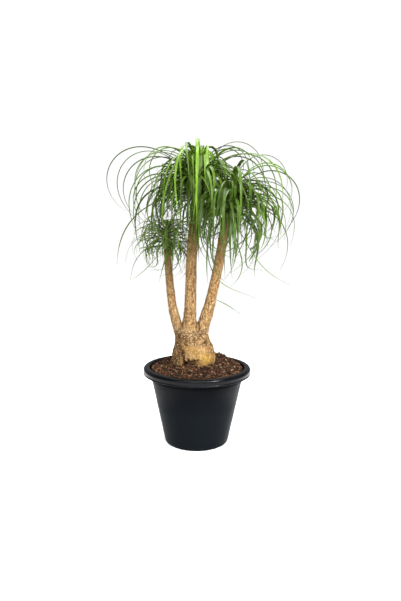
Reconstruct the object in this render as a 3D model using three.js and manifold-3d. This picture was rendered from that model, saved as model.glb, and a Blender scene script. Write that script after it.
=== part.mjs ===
// Potted ponytail palm. Three bare stems rise from one swollen base, and each carries a head of long
// strap leaves that arch over and hang down. The plant stands in potting soil in a black nursery pot
// with a rolled rim. Millimetres, +Z up; the origin is the middle of the pot's underside, +X is to the
// right and -Y is the front.
import * as THREE from "three";
import { mergeVertices } from "three/addons/utils/BufferGeometryUtils.js";
import Module from "manifold-3d";

const wasm = await Module();
wasm.setup();

// ---------- Driving dimensions ----------

const GAP = 0.3; // left between pieces that touch

const POT = {
  height: 245,
  rimRadius: 172,
  rimInnerRadius: 152,
  skirtHeight: 22, // how far the rolled rim hangs down outside
  baseRadius: 102,
  bodyTopRadius: 146,
  wall: 2.4,
  floor: 3,
  drainRise: 3.5, // the drain groove's roof above the surface that the pot stands on
  drainHoles: 8,
  drainHoleRadius: 6,
  drainRingRadius: 77,
  footNotches: 4,
  sides: 36,
};

const SOIL = {
  edgeHeight: 233, // where it meets the pot's wall
  crown: 24, // how much higher the middle is
  // Heaps against the plant: [x, y, height, spread].
  heaps: [
    [72, 60, 24, 30],
    [-84, 52, 16, 22],
    [40, -74, 6, 26],
    [-52, -84, 4, 22],
  ],
  relief: 7, // height of the bark chips on it
};

// The swollen base, level by level: [z, middle x, middle y, half width, half depth].
const CAUDEX = [
  [204, -13, 0, 50, 42],
  [232, -13, 0, 64, 53],
  [248, -13, 0, 70, 58],
  [262, -13, 0, 73, 60],
  [279, -12, 0, 71, 59],
  [295, -11, 0, 67, 56],
  [312, -12, 1, 62, 53],
  [328, -15, 2, 58, 50],
  [345, -18, 3, 55, 46],
  [359, -20, 4, 49, 36],
  [370, -22, 5, 39, 26],
  [379, -24, 6, 24, 15],
];
const CAUDEX_SIDES = 30;
// Folds that run up the base: [angle in degrees, depth as a share, width in degrees, top z].
const FOLDS = [
  [-118, 0.17, 11, 318],
  [-84, 0.14, 13, 276],
  [-38, 0.08, 14, 300],
  [20, 0.09, 16, 330],
  [95, 0.13, 15, 340],
  [158, 0.1, 14, 322],
];

// Stems: the points that the bark follows are [x, y, z, radius]; `head` is the leafy top, from its
// foot to the growing tip.
const STEMS = {
  middle: {
    route: [
      [-27, 5, 322, 37],
      [-26, 4, 362, 30.5],
      [-25, 3, 393, 22.5],
      [-23, 1, 430, 19.8],
      [-22, 0, 475, 18.6],
      [-21, -1, 530, 17.6],
      [-20, -1, 590, 17.3],
      [-17, 0, 648, 17],
      [-11, 2, 696, 16.8],
      [-4, 4, 734, 16.2],
      [1, 5, 768, 15.8],
    ],
    head: { foot: [1, 5, 768], tip: [4, 4, 852], radius: 16.5 },
  },
  right: {
    route: [
      [1, -3, 322, 31],
      [14, -8, 366, 23.5],
      [25, -12, 398, 20.2],
      [35, -15, 432, 18.4],
      [44, -20, 470, 16.8],
      [54, -25, 520, 15.8],
      [65, -30, 575, 15.4],
      [73, -34, 625, 15.2],
      [80, -37, 672, 14.6],
      [87, -40, 715, 14],
    ],
    head: { foot: [87, -40, 715], tip: [100, -45, 798], radius: 15 },
  },
  left: {
    route: [
      [-46, 6, 322, 25],
      [-60, 12, 362, 17.5],
      [-70, 16, 392, 16.3],
      [-79, 20, 426, 14.8],
      [-85, 24, 465, 13.8],
      [-90, 27, 515, 13],
      [-95, 30, 570, 12.4],
      [-98, 31, 618, 12.2],
    ],
    head: { foot: [-98, 31, 618], tip: [-98, 32, 684], radius: 13.5 },
  },
};
const STEM_SIDES = 12;
const STEM_RINGS = 19;
const HEAD_SIDES = 9;

// Leaves. A leaf leaves the head at `rise` above the level, bends down through `turn` between the
// shares `onset` and `hang` of its length, veers by `swing` and turns about its midline by `twist`
// towards its tip. Angles are in degrees; azimuth 0 points to +X and 90 to +Y.
const LEAF = {
  steps: 72, // fine steps along the midline
  segments: 7, // flat stretches that the solid is built of
  longSegments: 9, // the same for a leaf that stands out
  keel: 0.24, // depth of the folded blade as a share of its width
  tipWidth: 1.7,
  tipKeel: 0.8,
  ownGap: 6, // between midlines of one head, past the crowded root
  otherGap: 22, // between midlines of different heads
  stemGap: 9, // between a midline and the bark of a stem
  ceiling: 940, // no leaf of the rule rises above this,
  lowest: 505, // hangs below this,
  reach: 298, // or reaches further than this from the pot's axis
  clasping: 50, // length near the root where a leaf may touch its own head
  crowded: 75, // length near the root where a head's own leaves may touch
  roots: [0.15, 0.93], // shares up the head of the lowest and the highest root
  tries: 160,
  sideways: 16, // how far a leaf is turned towards its side, at most, in degrees
};

// Each head: its leaves by rule, from the old ones at its foot to the young ones at its tip, and the
// long arching leaves that stand out of it, which are placed one by one as
// [share up the head, azimuth, rise, turn, onset, hang, length, swing, twist].
const HEADS = [
  {
    name: "crown_middle",
    stem: "middle",
    seed: 11,
    leaves: 48,
    width: 11,
    length: [210, 420],
    rise: [2, 72],
    curl: [0, 80],
    hang: [0.75, 1.3],
    swing: 70,
    arching: [
      [0.97, 180, 31, 205, 0.14, 1.22, 480, 0, 70],
      [0.66, 177, 42, 180, 0.09, 0.98, 500, 0, -90],
      [0.79, 184, 40, 199, 0, 1.2, 419, 0, 75],
      [0.7, 190, 34, 180, 0, 1.1, 360, 0, -80],
      [0.8, 3, 62, 160, 0.08, 0.95, 370, -4, 80],
      [0.66, 18, 48, 160, 0.05, 1, 400, 0, -80],
      [0.95, 268, 60, 172, -0.1, 0.9, 430, 0, 0],
      [0.86, 250, 60, 172, -0.1, 0.9, 400, 0, -10],
      [0.9, 92, 56, 182, -0.1, 0.95, 430, 0, 10],
      [0.78, 70, 52, 185, 0, 1, 430, 0, -20],
      [0.74, 115, 46, 185, 0, 1, 440, 0, 20],
      [0.97, 291, 20, 141, -0.3, 0.66, 421, -35, 0],
      [0.96, 299, 31, 122, -0.2, 1, 367, 80, 20],
      [0.94, 265, 63, 172, 0, 0.76, 430, 33, 0],
      [0.97, 230, 85, 142, -0.2, 0.5, 360, 57, 15],
      [0.78, 219, 60, 180, 0.2, 0.89, 234, -43, 0],
      [0.64, 251, 81, 191, -0.24, 1.31, 350, 50, 0],
      [0.93, 308, 32, 191, -0.29, 1.4, 236, -71, 20],
      [0.88, 14, 57, 141, -0.3, 1.05, 302, 31, 20],
    ],
  },
  {
    name: "crown_right",
    stem: "right",
    seed: 23,
    leaves: 44,
    width: 11,
    length: [190, 370],
    rise: [0, 54],
    curl: [0, 80],
    hang: [0.75, 1.3],
    swing: 70,
    arching: [
      [0.8, 3, 76, 200, 0.02, 1.15, 330, 0, 75],
      [0.63, -3, 51, 184, 0.03, 1.01, 407, 0, -75],
      [0.7, 8, 38, 180, 0, 1, 400, 0, 80],
      [0.75, 275, 58, 176, -0.05, 0.85, 430, 0, 8],
      [0.5, 262, 38, 160, -0.05, 0.8, 430, 0, 10],
      [0.26, 279, 85, 176, -0.16, 1.01, 384, 80, 0],
      [0.2, 271, 10, 171, -0.27, 1.4, 287, 80, 10],
      [0.84, 19, 67, 209, -0.3, 0.99, 407, -7, 50],
    ],
  },
  {
    name: "crown_left",
    stem: "left",
    seed: 37,
    leaves: 44,
    width: 8,
    length: [110, 230],
    rise: [-6, 64],
    curl: [-15, 80],
    hang: [0.7, 1.25],
    swing: 100,
    arching: [],
  },
];

// ---------- Helpers ----------

const radians = THREE.MathUtils.degToRad;
const mix = THREE.MathUtils.lerp;
const UP = new THREE.Vector3(0, 0, 1);

// A small seeded generator of numbers from 0 to 1 (mulberry32).
function generator(seed) {
  let state = seed >>> 0;
  return () => {
    state = (state + 0x6d2b79f5) >>> 0;
    let t = state;
    t = Math.imul(t ^ (t >>> 15), t | 1);
    t ^= t + Math.imul(t ^ (t >>> 7), t | 61);
    return ((t ^ (t >>> 14)) >>> 0) / 4294967296;
  };
}

function smooth(x) {
  const t = THREE.MathUtils.clamp(x, 0, 1);
  return t * t * (3 - 2 * t);
}

function solidOf(geometry) {
  const bare = geometry.clone();
  bare.deleteAttribute("normal");
  bare.deleteAttribute("uv");
  const merged = mergeVertices(bare, 1e-4);
  return new wasm.Manifold(
    new wasm.Mesh({
      numProp: 3,
      vertProperties: new Float32Array(merged.attributes.position.array),
      triVerts: new Uint32Array(merged.index.array),
    }),
  );
}

function geometryOf(solid) {
  const mesh = solid.getMesh();
  const geometry = new THREE.BufferGeometry();
  geometry.setAttribute("position", new THREE.BufferAttribute(mesh.vertProperties, 3));
  geometry.setIndex(new THREE.BufferAttribute(mesh.triVerts, 1));
  return geometry;
}

// A closed skin through rings of equally many points, each anticlockwise as seen from the last ring.
function loft(rings) {
  const sides = rings[0].length;
  const points = rings.flat();
  const faces = [];
  for (let r = 0; r + 1 < rings.length; r++) {
    for (let s = 0; s < sides; s++) {
      const a = r * sides + s;
      const b = r * sides + ((s + 1) % sides);
      faces.push(a, b, b + sides, a, b + sides, a + sides);
    }
  }
  const last = (rings.length - 1) * sides;
  for (let s = 1; s + 1 < sides; s++) {
    faces.push(0, s + 1, s);
    faces.push(last, last + s, last + s + 1);
  }
  const geometry = new THREE.BufferGeometry().setFromPoints(points);
  geometry.setIndex(faces);
  return geometry;
}

// A solid of revolution about Z from [radius, height] points that start and end on the axis.
function turned(profile, sides) {
  const points = profile.map(([r, z]) => new THREE.Vector2(r, z));
  return new THREE.LatheGeometry(points, sides).rotateX(Math.PI / 2);
}

function cylinder(radius, z0, z1, x, y, sides) {
  const geometry = new THREE.CylinderGeometry(radius, radius, z1 - z0, sides);
  return geometry.rotateX(Math.PI / 2).translate(x, y, (z0 + z1) / 2);
}

function around(count, radius, make) {
  return Array.from({ length: count }, (_, i) => {
    const angle = ((i + 0.5) / count) * 2 * Math.PI;
    return make(radius * Math.cos(angle), radius * Math.sin(angle), angle);
  });
}

// ---------- Pot ----------

// Radius of the body's outer face; it widens evenly from the base to the collar under the rim.
const COLLAR_Z = POT.height - 37;
function bodyRadius(z) {
  return mix(POT.baseRadius, POT.bodyTopRadius, z / COLLAR_Z);
}

const FLOOR_TOP = POT.drainRise + POT.floor;
const INNER_WALL = [
  [bodyRadius(FLOOR_TOP) - POT.wall, FLOOR_TOP],
  [bodyRadius(COLLAR_Z) - POT.wall, COLLAR_Z],
  [bodyRadius(COLLAR_Z) + 2.4, COLLAR_Z + 10],
];

function potSolid() {
  const { height, rimRadius, rimInnerRadius, baseRadius, drainRingRadius, drainRise, wall } = POT;
  const grooveIn = drainRingRadius - 10;
  const grooveOut = drainRingRadius + 10;
  const skirtZ = height - POT.skirtHeight;
  const body = solidOf(
    turned(
      [
        [0, 0],
        [grooveIn - 1, 0],
        [grooveIn, drainRise],
        [grooveOut, drainRise],
        [grooveOut + 1, 0],
        [baseRadius - 4, 0],
        [baseRadius - 1, 1.2],
        [bodyRadius(4), 4],
        [bodyRadius(COLLAR_Z), COLLAR_Z],
        [bodyRadius(COLLAR_Z) + 3.5, COLLAR_Z + 2],
        [bodyRadius(COLLAR_Z) + 5.5, COLLAR_Z + 12],
        [rimInnerRadius + 5, height - 7],
        [rimRadius - 8, height - wall * 2],
        [rimRadius - wall - 0.6, height - 10],
        [rimRadius - wall - 0.4, skirtZ],
        [rimRadius - 0.6, skirtZ],
        [rimRadius, height - 9],
        [rimRadius - 2.5, height - 3.4],
        [rimRadius - 8.5, height],
        [rimInnerRadius + 4, height - 0.4],
        [rimInnerRadius, height - 4],
        ...INNER_WALL.toReversed(),
        [grooveIn - wall, FLOOR_TOP],
        [grooveIn - wall - 1, POT.floor],
        [0, POT.floor],
      ],
      POT.sides,
    ),
  );
  const holes = around(POT.drainHoles, drainRingRadius, (x, y) =>
    solidOf(cylinder(POT.drainHoleRadius, drainRise - 2, FLOOR_TOP + 2, x, y, 10)),
  );
  // Notches let the drain groove's water out under the foot ring.
  const notches = around(POT.footNotches, baseRadius - 6, (x, y, angle) =>
    solidOf(new THREE.BoxGeometry(22, 12, 5).rotateZ(angle).translate(x, y, 0)),
  );
  return [...holes, ...notches].reduce((left, cut) => left.subtract(cut), body);
}

// ---------- Trunk ----------

// How far a fold pulls the base in at an angle and a height, as a share of its radius.
function foldDepth(angle, z) {
  return FOLDS.reduce((sum, [at, depth, width, top]) => {
    const off = THREE.MathUtils.euclideanModulo(angle - at + 180, 360) - 180;
    return sum + depth * Math.exp(-((off / width) ** 2)) * smooth((top - z) / 45);
  }, 0);
}

// One ring of the swollen base, `grown` outwards; what is buried below the folds is plain.
function caudexRing([z, x, y, halfWidth, halfDepth], grown = 0) {
  return Array.from({ length: CAUDEX_SIDES }, (_, i) => {
    const angle = (i / CAUDEX_SIDES) * 360;
    const a = radians(angle);
    const buried = smooth((z - 204) / 30);
    const knobs = 0.025 * Math.sin(5 * a + z * 0.07) + 0.018 * Math.sin(9 * a - z * 0.11);
    const share = 1 + buried * (knobs - foldDepth(angle, z));
    return new THREE.Vector3(
      x + (halfWidth * share + grown) * Math.cos(a),
      y + (halfDepth * share + grown) * Math.sin(a),
      z,
    );
  });
}

// A ring across a path: round the point `at`, square to `along`.
function ringAcross(at, along, radius, sides) {
  const east = new THREE.Vector3(0, 1, 0).cross(along).normalize();
  const north = along.clone().cross(east);
  return Array.from({ length: sides }, (_, i) => {
    const a = (i / sides) * 2 * Math.PI;
    return at
      .clone()
      .addScaledVector(east, radius * Math.cos(a))
      .addScaledVector(north, radius * Math.sin(a));
  });
}

// The bark of one stem, with the low rings that old leaves leave behind.
function stemSolid(route) {
  const middles = new THREE.CatmullRomCurve3(route.map(([x, y, z]) => new THREE.Vector3(x, y, z)));
  const radii = new THREE.SplineCurve(route.map((p, i) => new THREE.Vector2(i, p[3])));
  const rings = Array.from({ length: STEM_RINGS }, (_, i) => {
    const t = i / (STEM_RINGS - 1);
    const scar = i % 2 ? 1.015 : 0.985;
    const along = t < 1 ? middles.getTangent(t) : UP;
    return ringAcross(middles.getPoint(t), along, radii.getPoint(t).y * scar, STEM_SIDES);
  });
  return solidOf(loft(rings));
}

function trunkSolid() {
  const base = solidOf(loft(CAUDEX.map((level) => caudexRing(level))));
  return Object.values(STEMS).reduce((left, { route }) => left.add(stemSolid(route)), base);
}

// ---------- Soil ----------

function soilHeight(x, y) {
  const r = Math.hypot(x, y) / POT.rimInnerRadius;
  const heaps = SOIL.heaps.reduce(
    (sum, [hx, hy, height, spread]) =>
      sum + height * Math.exp(-((x - hx) ** 2 + (y - hy) ** 2) / (2 * spread ** 2)),
    0,
  );
  // Bark chips lie every way: each spot of the surface has its own seeded height.
  const chip = generator(Math.round(x * 8) * 9176 + Math.round(y * 8) * 613)() - 0.5;
  return SOIL.edgeHeight + SOIL.crown * (1 - r * r) + heaps + SOIL.relief * chip;
}

// The potting soil fills the pot, and the plant's base stands in a plain hole in it.
function soilSolid() {
  const wallAt = (z) => {
    const [[r0, z0], [r1, z1], [r2, z2]] = INNER_WALL;
    return (z < z1 ? mix(r0, r1, (z - z0) / (z1 - z0)) : mix(r1, r2, (z - z1) / (z2 - z1))) - GAP;
  };
  const bottom = FLOOR_TOP + GAP;
  const edge = wallAt(COLLAR_Z + 10);
  const rings = [1, 0.93, 0.86, 0.79, 0.72, 0.65, 0.58, 0.5, 0.42, 0.3];
  const fill = turned(
    [
      [0, bottom],
      [wallAt(bottom), bottom],
      [wallAt(COLLAR_Z), COLLAR_Z],
      [edge, COLLAR_Z + 10],
      ...rings.map((share) => [edge * share, POT.height]),
      [0, POT.height],
    ],
    POT.sides,
  );
  const position = fill.attributes.position;
  for (let i = 0; i < position.count; i++) {
    if (position.getZ(i) >= POT.height - 1) {
      position.setZ(i, soilHeight(position.getX(i), position.getY(i)));
    }
  }
  const hole = CAUDEX.filter(([z]) => z < 350).map(([z, ...rest]) =>
    caudexRing([z === CAUDEX[0][0] ? z - GAP : z, ...rest], GAP),
  );
  return solidOf(fill).subtract(solidOf(loft(hole)));
}

// ---------- Leaves ----------

// The midline of a leaf: at each fine step its place, its direction and the way across the blade.
function leafLine({ root, azimuth, rise, turn, onset, hang, length, swing, twist }) {
  const line = [];
  const at = root.clone();
  for (let i = 0; i <= LEAF.steps; i++) {
    const t = i / LEAF.steps;
    const bent = smooth((t - onset) / (hang - onset));
    const pitch = radians(rise - turn * bent);
    const heading = radians(azimuth + swing * t * t);
    const along = new THREE.Vector3(
      Math.cos(pitch) * Math.cos(heading),
      Math.cos(pitch) * Math.sin(heading),
      Math.sin(pitch),
    );
    const across = new THREE.Vector3(-Math.sin(heading), Math.cos(heading), 0);
    across.applyAxisAngle(along, radians(twist * t));
    line.push({ at: at.clone(), along, across, t, bent });
    at.addScaledVector(along, length / LEAF.steps);
  }
  return line;
}

// Width of a blade: a broad root, a long strap and a fine tip.
function leafWidth(width, t) {
  const root = 1 + 0.35 * Math.max(0, 1 - t / 0.08);
  const taper = 1 - t ** 1.8;
  return Math.max(LEAF.tipWidth, width * root * taper);
}

// The blade as a solid: a flat face above and a keel below, with more stretches where it bends.
function leafSolid(leaf, line) {
  const rings = [];
  let next = 0;
  for (const { at, along, across, t, bent } of line) {
    const share = 0.6 * bent + 0.4 * t;
    if (share + 1e-9 < next / leaf.segments) continue;
    next = Math.floor(share * leaf.segments + 1e-9) + 1;
    const half = leafWidth(leaf.width, t) / 2;
    const keel = Math.max(LEAF.tipKeel, 2 * half * LEAF.keel);
    const up = along.clone().cross(across);
    rings.push([
      at.clone().addScaledVector(across, half),
      at.clone().addScaledVector(across, -half),
      at.clone().addScaledVector(up, -keel),
    ]);
  }
  return solidOf(loft(rings));
}

// Midline points of the leaves placed so far, in cubic cells, so that near ones are found fast.
class Placed {
  cells = new Map();

  cellOf(p, dx = 0, dy = 0, dz = 0) {
    const size = LEAF.otherGap;
    const [i, j, k] = [p.x, p.y, p.z].map((v) => Math.floor(v / size));
    return `${i + dx},${j + dy},${k + dz}`;
  }

  add(owner, line) {
    for (const { at } of line) {
      const cell = this.cellOf(at);
      if (!this.cells.has(cell)) this.cells.set(cell, []);
      this.cells.get(cell).push({ owner, at });
    }
  }

  // Whether a leaf of `owner` would come too near another leaf at `p`; near its own root, a leaf may
  // touch the other leaves of its own head.
  blocks(owner, p, nearRoot) {
    const steps = [-1, 0, 1];
    const tooNear = (other) => {
      const own = other.owner === owner;
      const gap = own ? LEAF.ownGap : LEAF.otherGap;
      return !(own && nearRoot) && other.at.distanceTo(p) < gap;
    };
    return steps.some((dx) =>
      steps.some((dy) =>
        steps.some((dz) => (this.cells.get(this.cellOf(p, dx, dy, dz)) ?? []).some(tooNear)),
      ),
    );
  }
}

// Distance from a point to the bark of the nearest stem or leafy head.
function barkDistance(p) {
  let nearest = Infinity;
  for (const { route, head } of Object.values(STEMS)) {
    const spine = [...route, [...head.tip, head.radius]];
    for (let i = 0; i + 1 < spine.length; i++) {
      const [a, b] = [spine[i], spine[i + 1]];
      const start = new THREE.Vector3(a[0], a[1], a[2]);
      const end = new THREE.Vector3(b[0], b[1], b[2]);
      const closest = new THREE.Line3(start, end).closestPointToPoint(p, true, new THREE.Vector3());
      nearest = Math.min(nearest, closest.distanceTo(p) - Math.max(a[3], b[3]));
    }
  }
  return nearest;
}

// A point of a head's axis, at a share of the way from its foot to its growing tip.
function headPoint({ foot, tip }, share) {
  return new THREE.Vector3(...foot).lerp(new THREE.Vector3(...tip), share);
}

// Turns a leaf a little away from the front and the back, towards the nearer side.
function spread(azimuth) {
  return azimuth - LEAF.sideways * Math.sin(2 * radians(azimuth));
}

// The leaf that the rule draws: old leaves low on the head and spread, young ones high and steep, about
// a golden angle apart.
function drawnLeaf(head, crown, index, attempt) {
  const random = generator(crown.seed * 100003 + index * 101 + attempt);
  const between = (low, high) => mix(low, high, random());
  const youth = index / (crown.leaves - 1);
  const rise = mix(...crown.rise, youth) + between(-12, 12);
  return {
    root: headPoint(head, mix(...LEAF.roots, youth)),
    azimuth: spread(index * 137.508 + between(-1, 1) * (8 + attempt * 0.5)),
    rise,
    turn: rise + 90 + between(...crown.curl),
    onset: between(-0.1, 0.1),
    hang: between(...crown.hang),
    length: between(...crown.length),
    swing: between(-1, 1) * (crown.swing + attempt * 0.3),
    twist: between(-50, 50),
    width: crown.width * between(0.85, 1.1),
    segments: LEAF.segments,
  };
}

function isClear(owner, leaf, line, placed) {
  return line.every(({ at, t }) => {
    const out = t * leaf.length;
    if (at.z > LEAF.ceiling || at.z < LEAF.lowest) return false;
    if (Math.hypot(at.x, at.y) > LEAF.reach) return false;
    if (out > LEAF.clasping && barkDistance(at) < LEAF.stemGap) return false;
    return !placed.blocks(owner, at, out < LEAF.crowded);
  });
}

// The leaves of one head that stand out, as they are listed.
function archingLeaves(crown) {
  return crown.arching.map(([share, azimuth, rise, turn, onset, hang, length, swing, twist]) => ({
    root: headPoint(STEMS[crown.stem].head, share),
    azimuth,
    rise,
    turn,
    onset,
    hang,
    length,
    swing,
    twist,
    width: crown.width,
    segments: LEAF.longSegments,
  }));
}

// One leaf by the rule, the first of its tries that has room, or none.
function fittingLeaf(crown, index, placed) {
  for (let attempt = 0; attempt < LEAF.tries; attempt++) {
    const leaf = drawnLeaf(STEMS[crown.stem].head, crown, index, attempt);
    const line = leafLine(leaf);
    if (isClear(crown.name, leaf, line, placed)) {
      placed.add(crown.name, line);
      return leaf;
    }
  }
  return null;
}

// The leaves of every head. The heads take turns, so that they share the room between them.
function growLeaves() {
  const placed = new Placed();
  const grown = HEADS.map(archingLeaves);
  HEADS.forEach((crown, i) => {
    grown[i].forEach((leaf) => placed.add(crown.name, leafLine(leaf)));
  });
  for (let index = 0; index < Math.max(...HEADS.map(({ leaves }) => leaves)); index++) {
    HEADS.forEach((crown, i) => {
      const leaf = index < crown.leaves ? fittingLeaf(crown, index, placed) : null;
      if (leaf) grown[i].push(leaf);
    });
  }
  return grown;
}

// The leafy top of a stem, where the leaf bases clasp each other. It sits flat on the stem's end.
function headSolid(head) {
  const along = headPoint(head, 1).sub(headPoint(head, 0)).normalize();
  const profile = [
    [0, 0.95],
    [0.12, 1.05],
    [0.45, 1.15],
    [0.8, 0.8],
    [1, 0.3],
  ];
  const rings = profile.map(([share, size]) =>
    ringAcross(headPoint(head, share), share > 0 ? along : UP, head.radius * size, HEAD_SIDES),
  );
  rings[0].forEach((point) => point.setZ(point.z + GAP));
  return solidOf(loft(rings));
}

// A head with its leaves, as one body: hollows that the fused leaves seal are filled.
function crownSolid(crown, leaves) {
  const fused = leaves.reduce(
    (left, leaf) => left.add(leafSolid(leaf, leafLine(leaf))),
    headSolid(STEMS[crown.stem].head),
  );
  return fused.decompose().reduce((most, body) => (body.volume() > most.volume() ? body : most));
}

// ---------- The plant in its pot ----------

const MATERIALS = {
  pot: { color: 0x23272b, roughness: 0.45 },
  soil: { color: 0x4a3325, roughness: 0.95 },
  bark: { color: 0xb08a58, roughness: 0.85 },
  leaf: { color: 0x4f8a2c, roughness: 0.5 },
};

function piece(name, solid, material) {
  const look = new THREE.MeshStandardMaterial({ ...MATERIALS[material], metalness: 0 });
  const mesh = new THREE.Mesh(geometryOf(solid), look);
  mesh.geometry.computeVertexNormals();
  mesh.name = name;
  return mesh;
}

const plant = new THREE.Group();
plant.add(piece("pot", potSolid(), "pot"));
plant.add(piece("soil", soilSolid(), "soil"));
plant.add(piece("trunk", trunkSolid(), "bark"));
growLeaves().forEach((leaves, i) => {
  plant.add(piece(HEADS[i].name, crownSolid(HEADS[i], leaves), "leaf"));
});

export default plant;
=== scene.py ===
"""Potted ponytail palm: the finished surfaces of the plant, its soil and its pot.

The sizes are those of the solids, in millimetres, and every mesh is made in metres. The leaves that
the solids have are grown again here by the same seeded rule, finer, and more are added between them.
"""

import math
from types import SimpleNamespace

import bpy
import numpy as np
from mathutils import Euler, Matrix, Vector, noise
from mathutils.kdtree import KDTree


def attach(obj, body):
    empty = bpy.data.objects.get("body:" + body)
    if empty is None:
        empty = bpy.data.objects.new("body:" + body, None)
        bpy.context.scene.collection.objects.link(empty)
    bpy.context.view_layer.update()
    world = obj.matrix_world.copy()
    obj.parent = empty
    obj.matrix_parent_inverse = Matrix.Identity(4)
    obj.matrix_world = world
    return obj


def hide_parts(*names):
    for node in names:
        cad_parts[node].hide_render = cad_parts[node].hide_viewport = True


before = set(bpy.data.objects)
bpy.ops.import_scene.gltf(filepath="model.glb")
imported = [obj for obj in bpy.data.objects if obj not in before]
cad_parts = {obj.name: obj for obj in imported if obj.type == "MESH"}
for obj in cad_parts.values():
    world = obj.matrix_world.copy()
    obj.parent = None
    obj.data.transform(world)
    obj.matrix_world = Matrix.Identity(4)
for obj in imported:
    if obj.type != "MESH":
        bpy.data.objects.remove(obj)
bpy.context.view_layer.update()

MM = 0.001

# ----- Driving dimensions, in millimetres and degrees -----

POT = dict(
    height=245,
    rim_radius=172,
    rim_inner_radius=152,
    skirt_height=22,
    base_radius=102,
    body_top_radius=146,
    wall=2.4,
    floor=3,
    drain_rise=3.5, drain_holes=8, drain_hole_radius=6, drain_ring_radius=77,
    foot_notches=4,
    sides=176,
)
COLLAR_Z = POT["height"] - 37
FLOOR_TOP = POT["drain_rise"] + POT["floor"]
SKIRT_Z = POT["height"] - POT["skirt_height"]

# The heap round the plant's foot, and smaller heaps as (x, y, height, spread).
SOIL = dict(
    edge_height=233,
    crown=24,
    heaps=[(72, 60, 24, 30), (-84, 52, 16, 22), (40, -74, 6, 26), (-52, -84, 4, 22)],
    clearance=0.4,
    edge_z=COLLAR_Z + 10,
)

# The leaf rule of the solids; `crowded` and `clasping` are lengths along the leaf from its root.
LEAF = dict(
    step=137.508, steps=72, keel=0.24, tip_width=1.7,
    own_gap=6, other_gap=22, stem_gap=9,
    ceiling=940, lowest=505, reach=298,
    clasping=50, crowded=75,
    roots=(0.15, 0.93), tries=160, sideways=16,
)

# The leaves that only the finished plant has, with at most `tries` draws for each extra one. Their
# `brightest_green` keeps them a darker green, which is painted shade for the tangle inside the heads.
EXTRA = dict(tries=120, step=222.492, roots=(0.1, 0.96), widths=(0.42, 1.1), brightest_green=0.65)
TUFT = dict(width=24, keel=0.08)
STRAY_YOUTH = 0.55

# Each stem with its head. The stem is a `route` of (x, y, z, radius), and the head goes on to the `tip`.
# The solids have `leaves` drawn by the seeded rule within the ranges given, less those that find no
# place, and the `arching` ones. Only the finished plant has these:
# - `extra` leaves that stay in the head's `bulk`, an ellipsoid given as its centre, half width, half
#   depth, height above and depth below; `tangle` is the share of draws for one that sticks out;
# - a `tuft` of broad upright leaves that fold over;
# - `strays`, which hang lower than the rest or grow from the bare stem.
# `brightest_green` is how far the head's leaves go towards the young green, from 0 to 1; below 1 it darkens
# all the head's greens, which is painted shade. A listed leaf is (share up the head, azimuth, rise, turn,
# onset, hang, length, swing, twist). A stray starts with the place of its root instead of the share,
# and ends with its width.
MIDDLE = dict(
    name="middle",
    route=[
        (-27, 5, 322, 37), (-26, 4, 362, 30.5), (-25, 3, 393, 22.5),
        (-23, 1, 430, 19.8), (-22, 0, 475, 18.6), (-21, -1, 530, 17.6),
        (-20, -1, 590, 17.3), (-17, 0, 648, 17), (-11, 2, 696, 16.8),
        (-4, 4, 734, 16.2), (1, 5, 768, 15.8),
    ],
    tip=(4, 4, 852), head_radius=16.5,
    seed=11, leaves=48, extra=205, tangle=0.18, brightest_green=1,
    bulk=(-4, 0, 690, 172, 165, 234, 172),
    width=11, length=(210, 420), rise=(2, 72), curl=(0, 80), hang=(0.75, 1.3), swing=70,
    tuft=[
        (0.97, 262, 87, 172, 0.13, 0.3, 400, 4, 0),
        (0.96, 274, 86, 170, 0.13, 0.33, 380, -4, 6),
        (0.97, 250, 85, 168, 0.14, 0.34, 300, 10, -8),
        (0.96, 280, 87, 168, 0.14, 0.33, 320, 6, 6),
        (0.95, 292, 84, 164, 0.12, 0.38, 330, -14, 8),
        (0.97, 200, 82, 158, 0.2, 0.5, 250, 0, 20),
        (0.96, 10, 80, 160, 0.2, 0.5, 260, 0, -20),
        (0.97, 90, 84, 160, 0.15, 0.45, 300, 0, 0),
        (0.94, 238, 79, 165, 0.1, 0.36, 330, -10, 10),
        (0.94, 272, 82, 168, 0.1, 0.34, 360, 10, -6),
        (0.93, 222, 82, 160, 0.12, 0.4, 300, -15, 15),
        (0.93, 314, 82, 160, 0.12, 0.4, 300, 15, -15),
        (0.95, 268, 82, 165, 0.1, 0.3, 420, 8, 4),
    ],
    arching=[
        (0.97, 180, 31, 205, 0.14, 1.22, 480, 0, 70),
        (0.66, 177, 42, 180, 0.09, 0.98, 500, 0, -90),
        (0.79, 184, 40, 199, 0, 1.2, 419, 0, 75),
        (0.7, 190, 34, 180, 0, 1.1, 360, 0, -80),
        (0.8, 3, 62, 160, 0.08, 0.95, 370, -4, 80),
        (0.66, 18, 48, 160, 0.05, 1, 400, 0, -80),
        (0.95, 268, 60, 172, -0.1, 0.9, 430, 0, 0),
        (0.86, 250, 60, 172, -0.1, 0.9, 400, 0, -10),
        (0.9, 92, 56, 182, -0.1, 0.95, 430, 0, 10),
        (0.78, 70, 52, 185, 0, 1, 430, 0, -20),
        (0.74, 115, 46, 185, 0, 1, 440, 0, 20),
        (0.97, 291, 20, 141, -0.3, 0.66, 421, -35, 0),
        (0.96, 299, 31, 122, -0.2, 1, 367, 80, 20),
        (0.94, 265, 63, 172, 0, 0.76, 430, 33, 0),
        (0.97, 230, 85, 142, -0.2, 0.5, 360, 57, 15),
        (0.78, 219, 60, 180, 0.2, 0.89, 234, -43, 0),
        (0.64, 251, 81, 191, -0.24, 1.31, 350, 50, 0),
        (0.93, 308, 32, 191, -0.29, 1.4, 236, -71, 20),
        (0.88, 14, 57, 141, -0.3, 1.05, 302, 31, 20),
    ],
    strays=[
        ((20, -12, 765), 4, -86, -66, 0.35, 0.85, 385, 0, 110, 5),
        ((-14, -16, 764), 250, -84, -40, 0.4, 0.95, 250, -60, 20, 5),
    ],
)

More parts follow.
